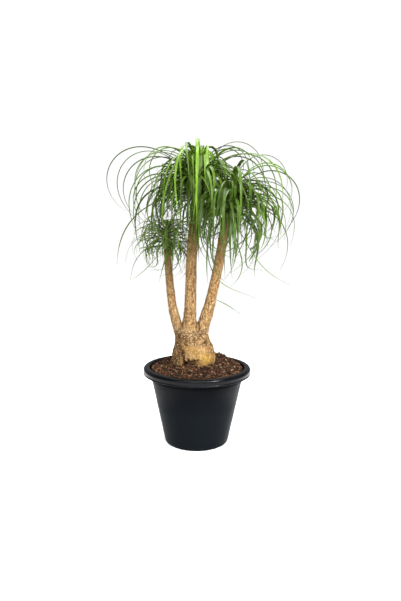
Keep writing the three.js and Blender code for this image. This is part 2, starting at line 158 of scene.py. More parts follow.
RIGHT = dict(
    name="right",
    route=[
        (1, -3, 322, 31), (14, -8, 366, 23.5), (25, -12, 398, 20.2),
        (35, -15, 432, 18.4), (44, -20, 470, 16.8), (54, -25, 520, 15.8),
        (65, -30, 575, 15.4), (73, -34, 625, 15.2), (80, -37, 672, 14.6),
        (87, -40, 715, 14),
    ],
    tip=(100, -45, 798), head_radius=15,
    # Painted shade: the right head's greens are kept darker by `brightest_green` below 1.
    seed=23, leaves=44, extra=118, tangle=0.12, brightest_green=0.78,
    bulk=(112, -40, 650, 148, 140, 228, 145),
    width=11, length=(190, 370), rise=(0, 54), curl=(0, 80), hang=(0.75, 1.3), swing=70,
    tuft=[],
    arching=[
        (0.8, 3, 76, 200, 0.02, 1.15, 330, 0, 75),
        (0.63, -3, 51, 184, 0.03, 1.01, 407, 0, -75),
        (0.7, 8, 38, 180, 0, 1, 400, 0, 80),
        (0.75, 275, 58, 176, -0.05, 0.85, 430, 0, 8),
        (0.5, 262, 38, 160, -0.05, 0.8, 430, 0, 10),
        (0.26, 279, 85, 176, -0.16, 1.01, 384, 80, 0),
        (0.2, 271, 10, 171, -0.27, 1.4, 287, 80, 10),
        (0.84, 19, 67, 209, -0.3, 0.99, 407, -7, 50),
    ],
    strays=[
        ((98, -56, 715), 0, -74, 66, 0.45, 1, 228, 0, 120, 6),
        ((106, -48, 712), 345, -60, -35, 0.3, 1, 270, 20, 100, 4.5),
        ((54, -20, 464), 2, -24, 14, 0, 1, 92, 0, 150, 3.5),
    ],
)

LEFT = dict(
    name="left",
    route=[
        (-46, 6, 322, 25), (-60, 12, 362, 17.5), (-70, 16, 392, 16.3),
        (-79, 20, 426, 14.8), (-85, 24, 465, 13.8), (-90, 27, 515, 13),
        (-95, 30, 570, 12.4), (-98, 31, 618, 12.2),
    ],
    tip=(-98, 32, 684), head_radius=13.5,
    seed=37, leaves=44, extra=105, tangle=0.3, brightest_green=1,
    bulk=(-102, 30, 640, 122, 112, 78, 135),
    width=8, length=(110, 230), rise=(-6, 64), curl=(-15, 80), hang=(0.7, 1.25), swing=100,
    tuft=[],
    arching=[],
    strays=[
        ((-108, 20, 622), 200, -50, -20, 0.3, 1, 150, -70, 100, 4),
    ],
)

HEADS = [MIDDLE, RIGHT, LEFT]


# ----- Helpers -----


def generator(seed):
    """The solids' seeded generator of numbers from 0 to 1 (mulberry32)."""
    state = seed & 0xFFFFFFFF

    def draw():
        nonlocal state
        state = (state + 0x6D2B79F5) & 0xFFFFFFFF
        t = ((state ^ (state >> 15)) * (state | 1)) & 0xFFFFFFFF
        t ^= (t + (t ^ (t >> 7)) * (t | 61)) & 0xFFFFFFFF
        return (t ^ (t >> 14)) / 4294967296

    return draw


def mix(low, high, share):
    return low + (high - low) * share


def smooth(x):
    t = np.clip(x, 0, 1)
    return t * t * (3 - 2 * t)


def rising(x, start, width):
    """0 below the start and 1 past the width, with a soft step between."""
    return smooth((x - start) / width)


def falling(x, end, width):
    """1 well below the end and 0 above it, with a soft step of the given width."""
    return smooth((end - x) / width)


def ridge(distance, width):
    """1 where the distance is 0, fading to both sides."""
    return np.exp(-((distance / width) ** 2))


def circle_angles(sides, start=0.0):
    """Even turns round a circle; `start` is a share of one step."""
    return (np.arange(sides) + start) * 2 * math.pi / sides


def tube_faces(rings, sides, start=0):
    """Quads between rings of points that are numbered one ring after another, and both end caps."""
    faces = []
    for ring in range(rings - 1):
        for k in range(sides):
            a, b = start + ring * sides + k, start + ring * sides + (k + 1) % sides
            faces.append((a, b, b + sides, a + sides))
    last = start + (rings - 1) * sides
    faces.append(tuple(start + k for k in range(sides))[::-1])
    faces.append(tuple(last + k for k in range(sides)))
    return faces


def scene_object(name, data):
    """A new object, linked to the scene."""
    made = bpy.data.objects.new(name, data)
    bpy.context.scene.collection.objects.link(made)
    return made


def shade(mesh, smoothly):
    mesh.polygons.foreach_set("use_smooth", [smoothly] * len(mesh.polygons))


def mesh_object(name, points_mm, faces, body="root"):
    """A smoothly shaded piece that rides on a body."""
    mesh = bpy.data.meshes.new(name)
    mesh.from_pydata((np.asarray(points_mm) * MM).tolist(), [], faces)
    mesh.validate()
    shade(mesh, True)
    mesh.update()
    piece = scene_object(name, mesh)
    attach(piece, body)
    return piece


def colour_points(piece, name, values):
    """A colour attribute with one colour for each vertex."""
    layer = piece.data.color_attributes.new(name, "FLOAT_COLOR", "POINT")
    rgba = np.ones((len(piece.data.vertices), 4), dtype=np.float32)
    rgba[:, : values.shape[1]] = values
    layer.data.foreach_set("color", rgba.ravel())


def field(points, scale, octaves, seed):
    """Fractal noise at points in millimetres; `scale` is the size of its features, or one per axis."""
    scales = np.broadcast_to(np.asarray(scale, dtype=float), (3,))
    shifted = points / scales + seed * 17.31
    return np.array([noise.fractal(Vector(p), 1.0, 2.0, octaves) for p in shifted])


# ----- Materials -----


class Nodes:
    """A material's node tree, with short calls for the nodes that these materials use."""

    def __init__(self, name):
        self.material = bpy.data.materials.new(name)
        self.material.use_nodes = True
        self.tree = self.material.node_tree
        self.shader = self.tree.nodes["Principled BSDF"]

    def plug(self, socket, value):
        if isinstance(value, bpy.types.NodeSocket):
            self.tree.links.new(value, socket)
        else:
            socket.default_value = value

    def add(self, kind, **inputs):
        """A new node; inputs are named with underscores for spaces."""
        made = self.tree.nodes.new(f"ShaderNode{kind}")
        for key, value in inputs.items():
            self.plug(made.inputs[key.replace("_", " ")], value)
        return made

    def coordinates(self, scale=(1, 1, 1), output="Object"):
        place = self.add("TexCoord").outputs[output]
        return self.add("Mapping", Vector=place, Scale=scale).outputs["Vector"]

    def noise(self, vector, scale, detail=4.0, roughness=0.55):
        made = self.add("TexNoise", Vector=vector, Scale=scale, Detail=detail, Roughness=roughness)
        return made.outputs["Fac"]

    def voronoi(self, vector, scale):
        return self.add("TexVoronoi", Vector=vector, Scale=scale).outputs["Distance"]

    def component(self, vector, axis):
        return self.add("SeparateXYZ", Vector=vector).outputs[axis]

    def ramp(self, value, stops):
        made = self.add("ValToRGB", Fac=value)
        elements = made.color_ramp.elements
        while len(elements) < len(stops):
            elements.new(0.5)
        for element, (place, colour) in zip(elements, stops):
            element.position = place
            element.color = (*colour, 1)
        return made.outputs["Color"]

    def blend(self, share, first, second):
        made = self.add("Mix")
        made.data_type = "RGBA"
        self.plug(made.inputs["Factor"], share)
        for key, value in (("A", first), ("B", second)):
            socket = next(s for s in made.inputs if s.name == key and s.type == "RGBA")
            self.plug(socket, (*value, 1) if isinstance(value, tuple) else value)
        return next(s for s in made.outputs if s.type == "RGBA")

    def maths(self, operation, first, second=0.0):
        made = self.add("Math")
        made.operation = operation
        self.plug(made.inputs[0], first)
        self.plug(made.inputs[1], second)
        return made.outputs[0]

    def range(self, value, low, high, to_low=0.0, to_high=1.0):
        made = self.add("MapRange", Value=value, From_Min=low, From_Max=high, To_Min=to_low, To_Max=to_high)
        return made.outputs["Result"]

    def attribute(self, name):
        """The parts of a colour attribute, and its alpha."""
        made = self.add("Attribute")
        made.attribute_name = name
        return self.add("SeparateColor", Color=made.outputs["Color"]).outputs, made.outputs["Alpha"]

    def bump(self, height, distance_mm, strength, **under):
        """Relief from a height; `Normal` may give the relief under it."""
        made = self.add("Bump", Strength=strength, Distance=distance_mm * MM, Height=height, **under)
        return made.outputs["Normal"]

    def finish(self, colour, roughness, **sockets):
        """The material, with the sockets of its shader that differ from the defaults."""
        for key, value in dict(Base_Color=colour, Roughness=roughness, **sockets).items():
            self.plug(self.shader.inputs[key.replace("_", " ")], value)
        return self.material


# Heights between which the wall goes from the painted shade under the rim to its lighter colour lower down.
POT_SHADED_ABOVE, POT_UNSHADED_BELOW = 0.215, 0.11  # metres up the pot


def pot_material(name, specular, roughest):
    """Black polypropylene: satin, blue-grey and dusty in patches.
    Its wall is darker towards the top and lighter towards the foot, as painted shade from the rim.
    """
    n = Nodes(name)
    flow = n.noise(n.coordinates((1, 1, 0.12)), 38, 3)
    grain = n.noise(n.coordinates(), 900, 2)
    dust = n.noise(n.coordinates(), 9, 6, 0.65)
    # Painted shade from the rim: the wall's colour is darkest under the lip and lighter towards the foot.
    low = n.range(n.component(n.coordinates(), "Z"), POT_SHADED_ABOVE, POT_UNSHADED_BELOW)
    colour = n.blend(low, (0.0012, 0.0016, 0.0025), (0.0052, 0.0069, 0.009))
    colour = n.blend(n.range(dust, 0.5, 0.75, 0, 0.3), colour, (0.0085, 0.0098, 0.012))
    rough = n.range(flow, 0.3, 0.7, roughest - 0.05, roughest)
    normal = n.bump(flow, 0.3, 0.1, Normal=n.bump(grain, 0.08, 0.35))
    return n.finish(colour, rough, Normal=normal, Specular_IOR_Level=specular)


def soil_material():
    """The bed of fine crumbs under the chips."""
    n = Nodes("soil_crumbs")
    crumbs = n.voronoi(n.coordinates(), 260)
    patches = n.noise(n.coordinates(), 60, 6, 0.7)
    colour = n.ramp(
        patches, [(0.3, (0.008, 0.005, 0.004)), (0.55, (0.03, 0.016, 0.01)), (0.8, (0.085, 0.042, 0.02))]
    )
    return n.finish(colour, 0.95, Normal=n.bump(crumbs, 2.0, 0.8), Specular_IOR_Level=0.15)


def chip_material():
    """Bark chips: each has its own brown, darkened in patches."""
    n = Nodes("bark_chips")
    own = n.tree.nodes.new("ShaderNodeVertexColor")
    own.layer_name = "chip"
    patches = n.noise(n.coordinates(), 420, 4, 0.7)
    colour = n.blend(n.range(patches, 0.35, 0.7, 0, 0.55), own.outputs["Color"], (0.012, 0.007, 0.005))
    return n.finish(colour, 0.88, Normal=n.bump(patches, 0.6, 0.6), Specular_IOR_Level=0.15)


def bark_material():
    """Corky tan bark, streaked and pitted. Its attribute says where it is dark, young, warm or pale."""
    n = Nodes("bark")
    parts, pale = n.attribute("bark")
    dark, young, warm = parts["Red"], parts["Green"], parts["Blue"]
    streaks = n.noise(n.coordinates((1, 1, 0.4)), 190, 5, 0.72)
    mottle = n.noise(n.coordinates((1, 1, 0.8)), 95, 5, 0.6)
    pits = n.voronoi(n.coordinates((1, 1, 1.6)), 160)
    colour = n.ramp(
        streaks,
        [(0.38, (0.095, 0.05, 0.018)), (0.5, (0.32, 0.19, 0.072)), (0.62, (0.56, 0.39, 0.19))],
    )
    colour = n.blend(n.range(mottle, 0.42, 0.66, 0, 0.6), colour, (0.27, 0.13, 0.05))
    colour = n.blend(n.maths("MULTIPLY", warm, 0.8), colour, (0.46, 0.27, 0.055))
    colour = n.blend(young, colour, (0.145, 0.082, 0.026))
    colour = n.blend(n.range(pits, 0.05, 0.2, 0.75, 0.0), colour, (0.1, 0.05, 0.022))
    colour = n.blend(pale, colour, (0.63, 0.45, 0.25))
    # The dark part: the cracks and specks, and painted shade in the recesses and on the left lobe.
    colour = n.blend(dark, colour, (0.065, 0.029, 0.01))
    height = n.maths("ADD", n.maths("MULTIPLY", streaks, 0.6), n.maths("MULTIPLY", mottle, 0.5))
    height = n.maths("ADD", height, n.maths("MULTIPLY", n.range(pits, 0.0, 0.25), 0.5))
    return n.finish(colour, 0.82, Normal=n.bump(height, 1.6, 0.9), Specular_IOR_Level=0.25)


def leaf_material(name, old, mid, young):
    """A strap leaf in its own shade of green, with veins along it, a pale root and a brown tip."""
    n = Nodes(name)
    parts, _ = n.attribute("leaf")
    youth, shade, along = parts["Red"], parts["Green"], parts["Blue"]
    side = n.component(n.coordinates(output="UV"), "X")
    colour = n.blend(n.range(youth, 0.0, 0.55), old, mid)
    colour = n.blend(n.range(youth, 0.62, 1.0), colour, young)
    # Each leaf's own shade darkens it at random; edge-on leaves get the full amount, which is painted
    # shade.
    colour = n.blend(n.range(shade, 0.2, 1, 0, 0.95), colour, tuple(c * 0.4 for c in old))
    colour = n.blend(n.range(along, 0.0, 0.16, 0.55, 0.0), colour, (0.42, 0.47, 0.14))
    colour = n.blend(n.range(along, 0.93, 1.0, 0.0, 0.7), colour, (0.2, 0.14, 0.045))
    veins = n.maths("SINE", n.maths("MULTIPLY", side, 95.0))
    colour = n.blend(n.range(veins, -0.2, 1.0, 0, 0.16), colour, tuple(min(1, c * 1.9) for c in mid))
    patches = n.noise(n.coordinates(), 30, 3)
    colour = n.blend(n.range(patches, 0.35, 0.7, 0, 0.35), colour, tuple(c * 0.62 for c in mid))
    return n.finish(
        colour,
        n.range(patches, 0.3, 0.7, 0.33, 0.46),
        Normal=n.bump(veins, 0.12, 0.4),
        Specular_IOR_Level=0.32,
        Subsurface_Weight=0.1,
        Subsurface_Radius=(0.0012, 0.0018, 0.0005),
        Subsurface_Scale=1.0,
    )


# ----- Pot -----


def body_radius(z):
    """Outside of the tapered wall at a height."""
    return mix(POT["base_radius"], POT["body_top_radius"], z / COLLAR_Z)


def arc(centre, radius, start, end, count):
    """Points of a round corner as (radius, height) pairs, between two angles in degrees."""
    angles = np.radians(np.linspace(start, end, count))
    return [(centre[0] + radius * math.cos(a), centre[1] + radius * math.sin(a)) for a in angles]


def turned(name, profile, sides):
    """A closed solid of revolution from (radius, height) points that start and end on the axis."""
    inner = profile[1:-1]
    points = [(0, 0, profile[0][1]), (0, 0, profile[-1][1])]
    for r, z in inner:
        points += [(r * math.cos(a), r * math.sin(a), z) for a in circle_angles(sides)]
    first, last = 2, 2 + (len(inner) - 1) * sides
    faces = tube_faces(len(inner), sides, first)[:-2]
    for k in range(sides):
        nxt = (k + 1) % sides
        faces += [(0, first + nxt, first + k), (1, last + k, last + nxt)]
    return mesh_object(name, points, faces)


def underside_profile():
    """From the axis over the drain groove to the rounded foot."""
    rise, foot = POT["drain_rise"], POT["base_radius"]
    groove_in, groove_out = POT["drain_ring_radius"] - 10, POT["drain_ring_radius"] + 10
    round_radius = 4.6
    return [
        (0, 0),
        (groove_in - 1, 0),
        (groove_in, rise),
        (groove_out, rise),
        (groove_out + 1, 0),
        (foot - 4, 0),
        *arc((foot - 4, round_radius), round_radius, -80, -12, 6),
    ]


def outside_profile():
    """Up the wall, over the bead and the collar, and round the lip that hangs over them."""
    top, rim, inner = POT["height"], POT["rim_radius"], POT["rim_inner_radius"]
    collar = body_radius(COLLAR_Z)
    return [
        *[(body_radius(z), z) for z in (12, 60, 130, COLLAR_Z - 2)],
        *arc((collar + 3.2, COLLAR_Z + 0.4), 1.6, -120, -10, 5),
        (collar + 5.2, COLLAR_Z + 10),
        (collar + 6.2, COLLAR_Z + 14),
        (inner + 4, top - 10),
        (rim - 9, top - 4.6),
        (rim - 4.2, top - 7.5),
        (rim - 3.1, top - 11),
        *arc((rim - 1.7, SKIRT_Z + 1.5), 1.5, 190, 440, 9),
        (rim - 1.6, top - 17),
        (rim - 0.5, top - 13),
        *arc((rim - 9, top - 9), 9, 0, 90, 12),
        *arc((inner + 4.5, top - 4.5), 4.5, 92, 178, 8),
    ]


def inside_profile():
    """Down the inside of the collar and the wall, and over the floor to the axis."""
    wall, floor = POT["wall"], POT["floor"]
    collar = body_radius(COLLAR_Z)
    groove_in = POT["drain_ring_radius"] - 10
    return [
        (collar + 2.4, COLLAR_Z + 10),
        (collar - wall, COLLAR_Z),
        (body_radius(FLOOR_TOP + 6) - wall, FLOOR_TOP + 6),
        (body_radius(FLOOR_TOP) - wall - 4, FLOOR_TOP),
        (groove_in - wall, FLOOR_TOP),
        (groove_in - wall - 1, floor),
        (0, floor),
    ]


def box_outline(length, width, angle):
    """A rectangle turned by an angle in radians."""
    corners = [(length / 2 * i, width / 2 * j) for i, j in ((-1, -1), (1, -1), (1, 1), (-1, 1))]
    cos, sin = math.cos(angle), math.sin(angle)
    return [(u * cos - v * sin, u * sin + v * cos) for u, v in corners]


def apply_modifiers(piece):
    """Replaces the piece's mesh with what its modifiers make of it."""
    graph = bpy.context.evaluated_depsgraph_get()
    mesh = bpy.data.meshes.new_from_object(piece.evaluated_get(graph))
    old = piece.data
    piece.modifiers.clear()
    piece.data = mesh
    bpy.data.meshes.remove(old)


def drain_cutters():
    """The holes in the groove and the notches under the foot, as one object."""
    radius = POT["drain_hole_radius"]
    hole = [(radius * math.cos(a), radius * math.sin(a)) for a in circle_angles(24)]
    columns = []
    for angle in circle_angles(POT["drain_holes"], 0.5):
        columns.append((hole, POT["drain_ring_radius"], angle, 1.5, FLOOR_TOP + 2))
    for angle in circle_angles(POT["foot_notches"], 0.5):
        columns.append((box_outline(22, 12, angle), POT["base_radius"] - 6, angle, -2.5, 2.5))
    points, faces = [], []
    for outline, out, angle, low, high in columns:
        x, y = out * math.cos(angle), out * math.sin(angle)
        faces += tube_faces(2, len(outline), len(points))
        points += [(x + u, y + v, z) for z in (low, high) for u, v in outline]
    return mesh_object("pot_cutters", points, faces)


def make_pot():
    """The moulded pot; its lip is shinier than its wall."""
    profile = underside_profile() + outside_profile() + inside_profile()
    pot = turned("pot_shell", profile, POT["sides"])
    tool = drain_cutters()
    cut = pot.modifiers.new("drain", "BOOLEAN")
    cut.object = tool
    cut.operation = "DIFFERENCE"
    cut.solver = "EXACT"
    apply_modifiers(pot)
    bpy.data.objects.remove(tool)
    pot.data.materials.append(pot_material("pot_plastic", specular=0.02, roughest=0.4))
    pot.data.materials.append(pot_material("pot_lip", specular=0.16, roughest=0.27))
    for face in pot.data.polygons:
        face.material_index = 1 if face.center.z > SKIRT_Z * MM else 0
    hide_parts("pot")


# ----- Soil -----


def soil_height(x, y):
    """The top of the soil, in millimetres."""
    r = np.hypot(x, y) / POT["rim_inner_radius"]
    z = SOIL["edge_height"] + SOIL["crown"] * (1 - r * r)
    for hx, hy, height, spread in SOIL["heaps"]:
        z = z + height * np.exp(-((x - hx) ** 2 + (y - hy) ** 2) / (2 * spread**2))
    return z


def inner_wall_radius(z):
    """Inside of the pot's wall, less the clearance that the soil keeps from it."""
    collar = body_radius(COLLAR_Z) - POT["wall"]
    if z < COLLAR_Z:
        wall = mix(body_radius(0) - POT["wall"], collar, z / COLLAR_Z)
    else:
        wall = mix(collar, body_radius(COLLAR_Z) + 2.4, min(1, (z - COLLAR_Z) / 10))
    return wall - SOIL["clearance"]


def make_soil_bed():
    """The body of soil, with a rough heaped top that the chips lie on."""
    sides, shares = 200, np.linspace(1, 0.02, 58)
    sunk = 3.5
    bottom, edge = FLOOR_TOP + SOIL["clearance"], inner_wall_radius(SOIL["edge_z"])
    angles = circle_angles(sides)
    circle = np.column_stack([np.cos(angles), np.sin(angles)])
    rings = [
        np.column_stack([circle * radius, np.full(sides, z)])
        for radius, z in (
            (inner_wall_radius(bottom) - 4.5, bottom),
            (inner_wall_radius(bottom + 7), bottom + 7),
            (inner_wall_radius(COLLAR_Z), COLLAR_Z),
            (edge, SOIL["edge_z"]),
        )
    ]
    for share in shares:
        flat = circle * edge * share
        spots = np.column_stack([flat, np.zeros(sides)])
        z = soil_height(flat[:, 0], flat[:, 1]) - sunk
        z = z + 2.6 * field(spots, 9, 4, 3) + 1.5 * field(spots, 30, 2, 5)
        rings.append(np.column_stack([flat, z]))
    bed = mesh_object("soil_bed", np.vstack(rings), tube_faces(len(rings), sides))
    bed.data.materials.append(soil_material())
    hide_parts("soil")


CHIP_BROWNS = [
    (0.030, 0.015, 0.009),
    (0.055, 0.026, 0.014),
    (0.095, 0.042, 0.02),
    (0.15, 0.062, 0.027),
    (0.21, 0.105, 0.05),
    (0.32, 0.2, 0.11),
    (0.012, 0.008, 0.006),
    (0.10, 0.1, 0.045),
]
CHIP_SHARES = [0.26, 0.2, 0.16, 0.12, 0.1, 0.055, 0.09, 0.015]
# How many of each kind are tried, how long they are, how thick for their length and how high they lie.
CHIP_KINDS = {
    "crumb": dict(tries=7000, long=(1.2, 2.6), thick=0.7, lift=(-3.0, 0.4)),
    "chip": dict(tries=3600, long=(2.6, 6.0), thick=0.42, lift=(-2.6, 1.4)),
    "flake": dict(tries=520, long=(5.5, 10.0), thick=0.3, lift=(-2.6, 1.4)),
}
CHIP_SIDES = 6


def chip_shapes(random, count):
    """Irregular flakes in a box of unit size: a six-sided outline below, and a smaller one above it."""
    shapes = []
    for _ in range(count):
        turns = np.sort(random.uniform(0, 2 * math.pi, CHIP_SIDES))
        turns = (turns + np.arange(CHIP_SIDES) * math.pi / 3) / 2
        radii = random.uniform(0.75, 1.1, CHIP_SIDES)
        outline = np.column_stack([np.cos(turns) * radii, np.sin(turns) * radii])
        upper = outline * random.uniform(0.6, 0.9) + random.uniform(-0.12, 0.12, 2)
        low = np.column_stack([outline, -0.5 + random.uniform(-0.15, 0.15, CHIP_SIDES)])
        high = np.column_stack([upper, 0.5 + random.uniform(-0.25, 0.25, CHIP_SIDES)])
        shapes.append(np.vstack([low, high]))
    return shapes


def under_the_plant(x, y):
    """Whether the woody base stands there, apart from the hollow under its front."""
    return ((x + 13) / 66) ** 2 + (y / 54) ** 2 < 1 and math.hypot(x + 18, y + 52) > 17


def chip_lift(x, y, edge):
    """How far chips are heaped up above the soil: along the pot's wall and in the hollow."""
    at_wall = 5 * float(rising(math.hypot(x, y) / edge, 0.8, 0.2))
    return at_wall + 9 * math.exp(-((x + 18) ** 2 + (y + 50) ** 2) / 150)


def placed_chip(random, shapes, kind, edge):
    """One chip's points, or None under the plant."""
    radius, angle = edge * math.sqrt(random.random()), random.uniform(0, 2 * math.pi)
    long = random.uniform(*kind["long"])
    radius = min(radius, edge - long)
    x, y = radius * math.cos(angle), radius * math.sin(angle)
    if under_the_plant(x, y):
        return None
    size = np.array([long, long * random.uniform(0.45, 0.8), long * kind["thick"]])
    tilt = Euler((random.normal(0, 0.45), random.normal(0, 0.45), random.uniform(0, 2 * math.pi)))
    shape = shapes[random.integers(len(shapes))] * size
    lift = random.uniform(*kind["lift"]) + chip_lift(x, y, edge)
    return shape @ np.array(tilt.to_matrix()).T + (x, y, float(soil_height(x, y)) + lift)


def make_chips():
    """Bark chips and crumbs, lying every way over the bed and against the plant's base."""
    random = np.random.default_rng(5)
    shapes = chip_shapes(random, 24)
    edge = inner_wall_radius(SOIL["edge_z"]) - 1.5
    points, faces, colours = [], [], []
    for kind in CHIP_KINDS.values():
        for _ in range(kind["tries"]):
            placed = placed_chip(random, shapes, kind, edge)
            if placed is None:
                continue
            faces += tube_faces(2, CHIP_SIDES, len(points) * 2 * CHIP_SIDES)
            points.append(placed)
            brown = np.array(CHIP_BROWNS[random.choice(len(CHIP_BROWNS), p=CHIP_SHARES)])
            colours.append(np.tile(brown * random.uniform(0.35, 1.6), (2 * CHIP_SIDES, 1)))
    chips = mesh_object("soil_chips", np.vstack(points), faces)
    shade(chips.data, False)
    colour_points(chips, "chip", np.vstack(colours))
    chips.data.materials.append(chip_material())


# ----- Trunk -----


def spine_segments():
    """The axes of the stems and heads as straight stretches: starts, ends and wider radii."""
    starts, ends, radii = [], [], []
    for stem in HEADS:
        spine = [*stem["route"], (*stem["tip"], stem["head_radius"])]
        for a, b in zip(spine, spine[1:]):
            starts.append(a[:3])
            ends.append(b[:3])
            radii.append(max(a[3], b[3]))
    return np.array(starts, float), np.array(ends, float), np.array(radii, float)


SPINE_STARTS, SPINE_ENDS, SPINE_RADII = spine_segments()


def bark_distance(points):
    """Distance from each point to the bark of the nearest stem or head."""
    along = SPINE_ENDS - SPINE_STARTS
    offset = points[:, None, :] - SPINE_STARTS[None]
    share = np.einsum("pij,ij->pi", offset, along) / np.einsum("ij,ij->i", along, along)
    nearest = SPINE_STARTS + along * np.clip(share, 0, 1)[..., None]
    apart = np.linalg.norm(points[:, None, :] - nearest, axis=2)
    return (apart - SPINE_RADII).min(axis=1)


def stem_places(points):
    """For each point its height along its stem from 0 at the fork to 1 at the head."""
    best = np.full(len(points), np.inf)
    share = np.zeros(len(points))
    for stem in HEADS:
        route = np.array(stem["route"])
        low, high = route[1][2], route[-1][2]
        x = np.interp(points[:, 2], route[:, 2], route[:, 0])
        y = np.interp(points[:, 2], route[:, 2], route[:, 1])
        r = np.interp(points[:, 2], route[:, 2], route[:, 3])
        apart = np.hypot(points[:, 0] - x, points[:, 1] - y) / r
        closer = apart < best
        best = np.where(closer, apart, best)
        share = np.where(closer, (points[:, 2] - low) / (high - low), share)
    return np.clip(share, 0, 1)


def even_copy(name, solid):
    """A copy of a solid as one even mesh with soft edges, to be pushed into relief."""
    piece = scene_object(name, solid.data.copy())
    piece.data.materials.clear()
    remesh = piece.modifiers.new("even", "REMESH")
    remesh.mode = "VOXEL"
    remesh.voxel_size = 1.7 * MM
    round_off = piece.modifiers.new("round", "SMOOTH")
    round_off.factor = 0.5
    round_off.iterations = 16
    apply_modifiers(piece)
    return piece


def vertex_rows(mesh, key):
    """The vertices' places or normals, one row for each."""
    values = np.empty(len(mesh.vertices) * 3)
    mesh.vertices.foreach_get(key, values)
    return values.reshape(-1, 3)


def bark_noises(points):
    """Noise over the bark, from its broad knobs to its specks."""
    return SimpleNamespace(
        knobs=field(points, (26, 26, 34), 3, 1),
        patches=field(points, 22, 2, 8),
        lumps=field(points, (9, 9, 10), 3, 2),
        rings=field(points, (30, 30, 3.6), 2, 6),
        fibres=field(points, (5, 5, 30), 3, 4),
        specks=field(points, (3.4, 3.4, 5), 2, 3),
    )


def crack_lines(points):
    """1 along the cracks between the bark's plates, and 0 on the plates."""
    plate, crack = (7.5, 7.5, 5.5), 0.34
    cells = np.array([noise.voronoi(Vector(p))[0] for p in points / plate])
    return 1 - smooth((cells[:, 1] - cells[:, 0]) / crack)


def cracked_bark(x, z, base, noises):
    """Where the base is cracked: in a band under the forks, up its right side and low on its left."""
    band = rising(z + 10 * noises.knobs, 312, 16) * falling(z, 376, 18)
    right = rising(x, 24, 14) * rising(z, 280, 12)
    left = falling(x, -48, 8) * falling(z, 338, 16)
    patchy = smooth(0.75 + 1.6 * noises.patches)
    return base * np.maximum(band, 0.8 * np.maximum(right, left)) * patchy


def crevice_depth(x, z, lumps):
    """The crevice that parts the left lobe and runs up into the fork."""
    middle = np.interp(z, (262, 275, 292, 321, 365, 393), (-38, -44, -47, -52, -53, -48))
    depth = np.interp(z, (300, 330, 372, 396, 406), (1, 0.1, 0.3, 0.6, 0))
    return ridge(x - middle + 6 * lumps, 4.2) * depth


def crease_depth(x, z):
    """The shallow crease down from the right fork."""
    middle = np.interp(z, (346, 362, 380, 398), (-3, 4, 6, 0))
    return ridge(x - middle, 2.8) * rising(z, 346, 20) * falling(z, 404, 16)


def hollow_depth(x, z, lumps):
    """The arched hollow under the front, with its ragged edge."""
    across = (x + 24 - 0.45 * (z - 262) + 7 * lumps) / 21
    up = (z - 252 + 7 * lumps) / 24
    return np.exp(-(across**6 + up**8))


def bark_forms(points, noises):
    """How far each vertex belongs to each form of the bark, from 0 to 1."""
    x, front, z = points[:, 0], points[:, 1] < 0, points[:, 2]
    base = falling(z, 392, 50)
    return SimpleNamespace(
        base=base,
        bare=1 - base,
        cracked=cracked_bark(x, z, base, noises),
        cracks=crack_lines(points),
        cheek=smooth(1 - np.hypot((x + 8) / 52, (z - 300) / 24)) * front,
        bulge=smooth(1.1 - np.hypot((x - 30) / 34, (z - 276) / 30)) * front,
        crevice=crevice_depth(x, z, noises.lumps) * front,
        crease=crease_depth(x, z) * front,
        hollow=hollow_depth(x, z, noises.lumps) * front,
        scar=ridge(z - 455 + 0.2 * x, 1.5) * (x < -55),
        buried=falling(z, 250, 8),
    )


def bark_relief(forms, noises):
    """How far each vertex is pushed out, in millimetres."""
    push = forms.base * (2.4 * noises.knobs + 1.6 * noises.lumps * (1 - 0.8 * forms.cheek))
    push -= 3.2 * forms.cracked * forms.cracks
    stem = 0.8 * noises.knobs + 0.5 * noises.fibres + 0.3 * noises.rings + 0.35 * noises.lumps
    push += 2.5 * forms.bulge + forms.bare * stem - forms.scar
    push -= 6.0 * forms.crevice + 10.0 * forms.hollow + 2.5 * forms.crease
    return push * (1 - forms.buried)


def bark_shades(points, forms, noises):
    """How dark, young, warm and pale the bark is at each vertex; its darkness includes painted shade."""
    base, bare, rough = forms.base, forms.bare, 1 - forms.cheek
    dark = forms.cracked * forms.cracks
    # Painted shade in the crevice, the hollow and the crease, and in the dips between the lumps.
    dark += 0.95 * forms.crevice + 0.8 * forms.hollow + 0.7 * forms.crease + 0.7 * forms.scar
    dark += 0.25 * base * smooth(-0.1 - 1.8 * noises.lumps) * rough
    dark += 0.7 * bare * smooth(-0.4 - 3.4 * noises.specks)
    dark += 0.4 * base * smooth(-0.4 - 3 * noises.specks) * rough
    # Painted shade on the left lobe, the side turned away from the key lamp.
    dark += 0.3 * base * falling(points[:, 0], -46, 8)
    young = 0.85 * rising(stem_places(points), 0.3, 0.65) * bare
    warm = forms.bulge + 0.3 * forms.cheek + 0.25 * base * smooth(noises.knobs * 2)
    pale = 0.6 * forms.cracked * (1 - forms.cracks) * smooth(0.4 + 2 * noises.lumps)
    pale += 0.3 * base * rising(points[:, 2], 340, 20)
    return np.clip(np.column_stack([dark, young, warm, pale]), 0, 1)


def make_trunk():
    """The woody base and the stems, with their bark in relief."""
    trunk = even_copy("trunk_bark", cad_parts["trunk"])
    mesh = trunk.data
    points = vertex_rows(mesh, "co") / MM
    noises = bark_noises(points)
    forms = bark_forms(points, noises)
    points += vertex_rows(mesh, "normal") * bark_relief(forms, noises)[:, None]
    mesh.vertices.foreach_set("co", (points * MM).ravel())
    mesh.update()
    shade(mesh, True)
    colour_points(trunk, "bark", bark_shades(points, forms, noises))
    mesh.materials.append(bark_material())
    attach(trunk, "root")
    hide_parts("trunk")


# ----- Leaves -----


def head_point(crown, share):
    """A place on the head's axis, from the end of the bark to the tip."""
    foot = np.array(crown["route"][-1][:3], float)
    return foot * (1 - share) + np.array(crown["tip"], float) * share


